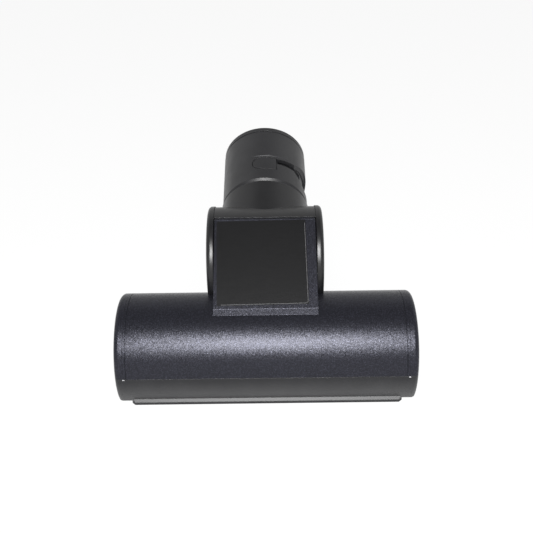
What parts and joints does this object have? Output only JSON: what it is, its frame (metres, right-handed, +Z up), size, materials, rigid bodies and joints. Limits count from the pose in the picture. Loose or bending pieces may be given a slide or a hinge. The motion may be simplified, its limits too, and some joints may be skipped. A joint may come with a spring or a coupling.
{
  "type": "hand-held turbo brush",
  "caption": "Hand-held vacuum turbo brush with a round hood, a spinning bristle roller driven by an air turbine, and a swivelling connector.",
  "frame": {"origin": "middle of the sole's rear land, on the plane that the brush stands on", "axes": "+X to the right across the head along the roller, +Y back towards the connector, +Z up from the floor"},
  "size_m": [0.145, 0.1412, 0.1015],
  "materials": {
    "hood_paint": "dark graphite sparkle paint over moulded plastic",
    "satin_black": "satin black moulded plastic",
    "tube_black": "satin black moulded plastic",
    "label_dark": "plain dark label, satin",
    "roller_grey": "moulded roller body",
    "bristle": "nylon bristle tufts",
    "white_plastic": "natural moulded plastic",
    "steel": "bright steel",
    "belt_rubber": "rubber drive belt"
  },
  "bodies": {
    "housing": {"top_housing": "hood_paint", "bottom_housing": "satin_black", "sole_plate": "satin_black", "end_cap_left": "hood_paint", "end_cap_right": "hood_paint", "turbine_housing": "satin_black", "side_cover_left": "satin_black", "side_cover_right": "satin_black", "label_plate": "label_dark", "bearing_block_left": "white_plastic", "bearing_block_right": "white_plastic", "turbine_bearing_left": "steel", "turbine_bearing_right": "steel", "drive_belt": "belt_rubber", "housing_screws": "steel", "cover_screws": "steel"},
    "roller": {"roller_core": "roller_grey", "bristle_tufts": "bristle", "roller_pulley": "white_plastic", "axle_pin_left": "steel", "axle_pin_right": "steel"},
    "turbine": {"turbine_wheel": "white_plastic", "turbine_shaft": "steel", "turbine_pulley": "white_plastic"},
    "swivel": {"swivel_tube": "tube_black", "retaining_ring": "steel", "mouth_ring": "tube_black"},
    "collar": {"bleed_collar": "tube_black"},
    "button": {"lock_button": "tube_black", "button_spring": "steel"}
  },
  "joints": [
    {"name": "roller_spin", "type": "hinge", "parent": "housing", "child": "roller", "pos_m": [0, -0.02, 0.0185], "axis": [1, 0, 0], "continuous": true},
    {"name": "turbine_spin", "type": "hinge", "parent": "housing", "child": "turbine", "pos_m": [0, 0.01108, 0.05205], "axis": [1, 0, 0], "continuous": true},
    {"name": "tube_swivel", "type": "hinge", "parent": "housing", "child": "swivel", "pos_m": [0, 0.03914, 0.06266], "axis": [0, 0.9354, 0.3535], "continuous": true},
    {"name": "collar_turn", "type": "hinge", "parent": "swivel", "child": "collar", "pos_m": [0, 0.05785, 0.06973], "axis": [0, 0.9354, 0.3535], "range_deg": [0, 40]},
    {"name": "button_press", "type": "slide", "parent": "collar", "child": "button", "axis": [0, 0.3535, -0.9354], "range_m": [0, 0.0008], "stiffness_N_per_m": 1500, "springref_m": -0.0004}
  ],
  "couplings": [
    {"joint": "turbine_spin", "follows": "roller_spin", "ratio": 2.2698}
  ]
}
